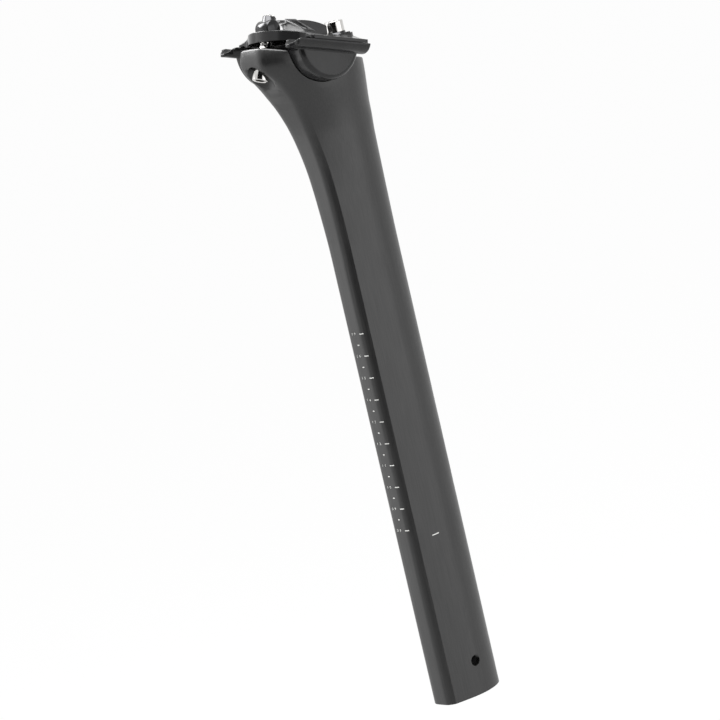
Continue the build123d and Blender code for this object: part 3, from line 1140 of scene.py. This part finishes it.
@dataclass
class Mast:
    """The carbon post with what stays fixed to it."""

    shop: Workshop
    rear_bolt_seat: Point = (-34.527 * MM, 0.0, 293.455 * MM)
    rear_bolt_lean: float = math.radians(27.5)

    def build(self) -> None:
        """Dresses the post, the rear bolt and its washer, and the hidden nut."""
        neck = Neck()
        shell = self.shop.welded("post", "carbon_shell", self.shop.carbon, reshape=neck.relay)
        corners = shell.data.vertices
        for edge in shell.data.edges:
            if all(neck.on_crease(corners[index].co) for index in edge.vertices):
                edge.use_edge_sharp = True
        settle(shell, Body.MAST, Slot.CARBON, "post")
        washer = self.shop.welded("rear_bolt_washer", "rear_washer", self.shop.blackened)
        settle(washer, Body.MAST, Slot.DARK_STEEL, "rear_bolt_washer")
        nut = self.shop.welded("front_barrel_nut", "hidden_nut", self.shop.blackened)
        settle(nut, Body.MAST, Slot.DARK_STEEL, "front_barrel_nut")
        PostScale(self.shop).build()
        SocketBolt(
            shop=self.shop,
            name="rear_bolt",
            seat=self.rear_bolt_seat,
            towards_head=(-math.sin(self.rear_bolt_lean), 0.0, -math.cos(self.rear_bolt_lean)),
            head_diameter=7.0 * MM,
            length=24.0 * MM,
            thread_length=21.0 * MM,
            body=Body.MAST,
        ).build()


@dataclass
class SaddleClamp:
    """The two clamps, which rock together in the head."""

    shop: Workshop
    rail_centre: Point = (-14.3 * MM, 0.0, 300.0 * MM)
    lean: float = math.radians(16.3)
    wing_half_width: float = 25.6 * MM
    wing_edge_top: float = 1.1 * MM
    arch_rise: float = 1.0 * MM
    arch_power: float = 1.15
    arch_full_until: float = -6.0 * MM
    arch_ends: float = 8.0 * MM

    def arch(self, shape: bmesh.types.BMesh) -> None:
        """Fills out the flanks of the bridge behind its spine, as the forging has them.

        Args:
            shape: copy of the upper clamp.
        """
        level = Vector((math.cos(self.lean), 0.0, -math.sin(self.lean)))
        upright = Vector((math.sin(self.lean), 0.0, math.cos(self.lean)))
        for vertex in shape.verts:
            reach = vertex.co - Vector(self.rail_centre)
            forward, up = reach.dot(level), reach.dot(upright)
            if up < self.wing_edge_top:
                continue
            across = min(abs(reach.y) / self.wing_half_width, 1.0)
            swell = math.sin(math.pi * across**self.arch_power) ** 2
            share = eased((self.arch_ends - forward) / (self.arch_ends - self.arch_full_until))
            vertex.co += upright * self.arch_rise * swell * share

    def build(self) -> None:
        """Dresses both clamps."""
        drum = self.shop.welded("lower_clamp", "drum_clamp", self.shop.anodised)
        settle(drum, Body.CLAMP, Slot.CLAMP_METAL, "lower_clamp")
        bridge = self.shop.welded("upper_clamp", "bridge_clamp", self.shop.anodised, reshape=self.arch)
        settle(bridge, Body.CLAMP, Slot.CLAMP_METAL, "upper_clamp")


@dataclass
class FrontScrew:
    """The front bolt with its half-round washer."""

    shop: Workshop
    seat: Point = (10.5 * MM, 0.0, 300.091 * MM)

    def build(self) -> None:
        """Turns the bolt and dresses the washer."""
        washer = self.shop.welded("front_bolt_washer", "rocking_washer", self.shop.blackened)
        settle(washer, Body.FRONT_BOLT, Slot.DARK_STEEL, "front_bolt_washer")
        SocketBolt(
            shop=self.shop,
            name="front_bolt",
            seat=self.seat,
            towards_head=(0.0, 0.0, 1.0),
            head_diameter=8.2 * MM,
            length=45.0 * MM,
            thread_length=18.0 * MM,
            body=Body.FRONT_BOLT,
        ).build()


@dataclass
class RearNut:
    """The rear barrel nut, which sits across the upper clamp."""

    shop: Workshop

    def build(self) -> None:
        """Dresses the nut."""
        nut = self.shop.welded("rear_barrel_nut", "barrel_nut", self.shop.blackened)
        settle(nut, Body.REAR_NUT, Slot.DARK_STEEL, "rear_barrel_nut")


@dataclass(frozen=True)
class Softbox:
    """A lamp: its name, where it stands, its width and height, and its power in watts."""

    name: str
    stands_at: Point
    size: Pair
    watts: float


@dataclass
class Studio:
    """Camera, lamps, pale floor and surroundings."""

    camera_place: Point = (-0.880095, -1.038789, 0.388596)
    camera_right: Point = (0.71975, -0.65786, -0.22176)
    camera_up: Point = (0.28051, -0.01661, 0.95971)
    camera_lens: float = 156.913
    camera_shift: Pair = (-0.03883, 0.01689)
    sensor_width: float = 36.0
    nearest_seen: float = 0.05
    floor_drop: float = 0.4
    floor_size: float = 40.0
    floor_colour: Colour = (0.86, 0.86, 0.86)
    floor_roughness: float = 0.9
    floor_glow: float = 0.96
    ambient: float = 0.55
    cloth_colour: Colour = (0.006, 0.006, 0.006)
    flag_bearing: float = 218.0
    flag_distance: float = 1.8
    flag_lift: float = 0.5
    flag_size: Pair = (2.3, 2.6)
    aim: Point = (-0.01, 0.0, 0.17)
    softboxes: tuple[Softbox, ...] = (
        Softbox("tail_softbox", (-0.96, 1.15, 0.1), (0.9, 1.4), 4.0),
        Softbox("side_softbox", (0.45, -1.4, 0.05), (1.5, 1.5), 8.0),
        Softbox("top_softbox", (-0.1, -0.1, 1.5), (1.2, 1.2), 50.0),
        Softbox("rim_softbox", (-0.25, 1.2, 1.25), (0.8, 0.8), 30.0),
    )

    def camera(self) -> None:
        """Sets the camera where the photographer stood."""
        lens = bpy.data.cameras.new("photo_camera")
        lens.lens = self.camera_lens
        lens.sensor_width = self.sensor_width
        lens.shift_x, lens.shift_y = self.camera_shift
        lens.clip_start = self.nearest_seen
        right = Vector(self.camera_right)
        up = Vector(self.camera_up)
        back = right.cross(up)
        eye = place(lens, "photo_camera")
        turn = Matrix((right, up, back)).transposed().to_4x4()
        eye.matrix_world = Matrix.Translation(self.camera_place) @ turn
        bpy.context.scene.camera = eye

    def lamp(self, box: Softbox) -> None:
        """Adds a softbox.

        Args:
            box: its name, place, size and power.
        """
        light = bpy.data.lights.new(box.name, "AREA")
        light.shape = "RECTANGLE"
        light.size, light.size_y = box.size
        light.energy = box.watts
        lamp = place(light, box.name)
        lamp.location = box.stands_at
        away = Vector(box.stands_at) - Vector(self.aim)
        lamp.rotation_euler = away.to_track_quat("Z", "Y").to_euler()

    def surroundings(self) -> None:
        """Makes white surroundings, whose light on the object is dimmer than they look."""
        world = WorldSketch("studio")
        strength = world.node("ShaderNodeMix", A=self.ambient, B=1.0)
        background = world.node("ShaderNodeBackground", Color=WHITE)
        output = world.node("ShaderNodeOutputWorld")
        world.link(world.seen_share(), strength.inputs["Factor"])
        world.link(strength.outputs["Result"], background.inputs["Strength"])
        world.link(background.outputs["Background"], output.inputs["Surface"])

    def sheet(self, name: str, size: Pair, turn: Matrix, finish: bpy.types.Material) -> bpy.types.Object:
        """Adds a flat sheet of the studio.

        Args:
            name: its name.
            size: width and depth.
            turn: puts it into its place.
            finish: its material.

        Returns:
            The sheet.
        """
        shape = bmesh.new()
        bmesh.ops.create_grid(shape, x_segments=1, y_segments=1, size=0.5)
        shape.transform(turn @ Matrix.Diagonal((*size, 1.0, 1.0)))
        sheet = place(finished(shape, name, finish), name)
        return sheet

    def floor(self) -> None:
        """Lays the pale floor, which keeps the object's shadow."""
        sketch = ShaderSketch("pale_floor")
        sketch.tune(Base_Color=(*self.floor_colour, 1.0), Roughness=self.floor_roughness)
        share = sketch.combined("MULTIPLY", sketch.seen_share(), self.floor_glow)
        glow = sketch.node("ShaderNodeEmission", Color=WHITE, Strength=1.0)
        mix = sketch.node("ShaderNodeMixShader")
        output = sketch.tree.nodes["Material Output"]
        sketch.link(share, mix.inputs["Fac"])
        sketch.link(sketch.surface.outputs["BSDF"], mix.inputs[1])
        sketch.link(glow.outputs["Emission"], mix.inputs[2])
        sketch.link(mix.outputs["Shader"], output.inputs["Surface"])
        size = (self.floor_size, self.floor_size)
        self.sheet("floor", size, Matrix.Translation((0.0, 0.0, -self.floor_drop)), sketch.material)

    def flag(self) -> None:
        """Hangs a black cloth behind the camera.

        It darkens the corner between tail and side, and the middle of the bolts' heads.
        """
        sketch = ShaderSketch("black_cloth")
        sketch.tune(Base_Color=(*self.cloth_colour, 1.0), Roughness=1.0, Specular_IOR_Level=0.0)
        bearing = math.radians(self.flag_bearing)
        centre = Vector((math.cos(bearing), math.sin(bearing), 0.0)) * self.flag_distance
        facing = centre.to_track_quat("Z", "Y").to_matrix().to_4x4()
        raised = Matrix.Translation(centre + Vector((0.0, 0.0, self.flag_lift)))
        cloth = self.sheet("black_flag", self.flag_size, raised @ facing, sketch.material)
        cloth.visible_camera = False

    def build(self) -> None:
        """Sets up the studio."""
        bpy.context.scene.view_settings.view_transform = "Standard"
        self.camera()
        self.surroundings()
        self.floor()
        self.flag()
        for box in self.softboxes:
            self.lamp(box)


def main() -> None:
    """Builds the seatpost's looks and its studio, piece by piece."""
    logging.basicConfig(level=logging.INFO, format="%(name)s: %(message)s")
    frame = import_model()
    shop = Workshop(frame["nodes"])
    Mast(shop).build()
    SaddleClamp(shop).build()
    FrontScrew(shop).build()
    RearNut(shop).build()
    Studio().build()


if __name__ == "__main__":
    main()
